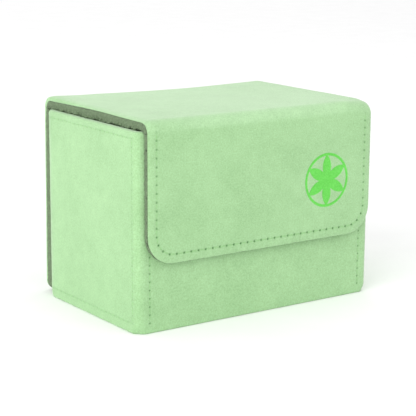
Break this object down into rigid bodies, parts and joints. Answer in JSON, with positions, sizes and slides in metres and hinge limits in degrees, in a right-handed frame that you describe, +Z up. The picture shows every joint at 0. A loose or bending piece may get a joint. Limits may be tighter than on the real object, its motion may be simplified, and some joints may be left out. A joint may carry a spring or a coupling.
{
  "type": "card deck box",
  "caption": "Rigid lined box for a stack of sleeved cards, in imitation leather, with a one-piece wrap cover whose lid swings back and whose front flap closes on hidden magnets.",
  "frame": {"origin": "centre of the base, on the surface that the box stands on", "axes": "+X to the right along the box's width, -Y towards the front where the flap closes, +Z up"},
  "size_m": [0.1058, 0.073, 0.0756],
  "materials": {
    "leather": "fine suede-like grain, matte",
    "lining": "short-napped microfibre, matte",
    "greyboard": "raw board, hidden",
    "thread": "twisted polyester thread",
    "magnet": "nickel plated"
  },
  "bodies": {
    "box": {"base_skin": "leather", "floor_board": "greyboard", "floor_lining": "lining", "front_board": "greyboard", "rear_board": "greyboard", "left_board": "greyboard", "right_board": "greyboard", "wall_lining": "lining", "body_skin": "leather", "front_magnet_left": "magnet", "front_magnet_right": "magnet", "front_stitching": "thread", "left_side_stitching": "thread", "right_side_stitching": "thread", "back_leaf_skin": "leather", "back_leaf_board": "greyboard", "back_leaf_lining": "lining", "back_leaf_stitching": "thread"},
    "lid": {"rear_fold_skin": "leather", "rear_fold_lining": "lining", "lid_skin": "leather", "lid_board": "greyboard", "lid_lining": "lining", "lid_stitching_left": "thread", "lid_stitching_right": "thread"},
    "flap": {"front_fold_skin": "leather", "front_fold_lining": "lining", "flap_skin": "leather", "flap_board": "greyboard", "flap_lining": "lining", "flap_stitching": "thread", "flap_magnet_left": "magnet", "flap_magnet_right": "magnet"}
  },
  "joints": [
    {"name": "lid_hinge", "type": "hinge", "parent": "box", "child": "lid", "pos_m": [0, 0.0361, 0.0752], "axis": [-1, 0, 0], "range_deg": [0, 205], "deforming": ["rear_fold_skin", "rear_fold_lining"]},
    {"name": "flap_hinge", "type": "hinge", "parent": "lid", "child": "flap", "pos_m": [0, -0.0361, 0.0752], "axis": [-1, 0, 0], "range_deg": [0, 120], "deforming": ["front_fold_skin", "front_fold_lining"]}
  ]
}
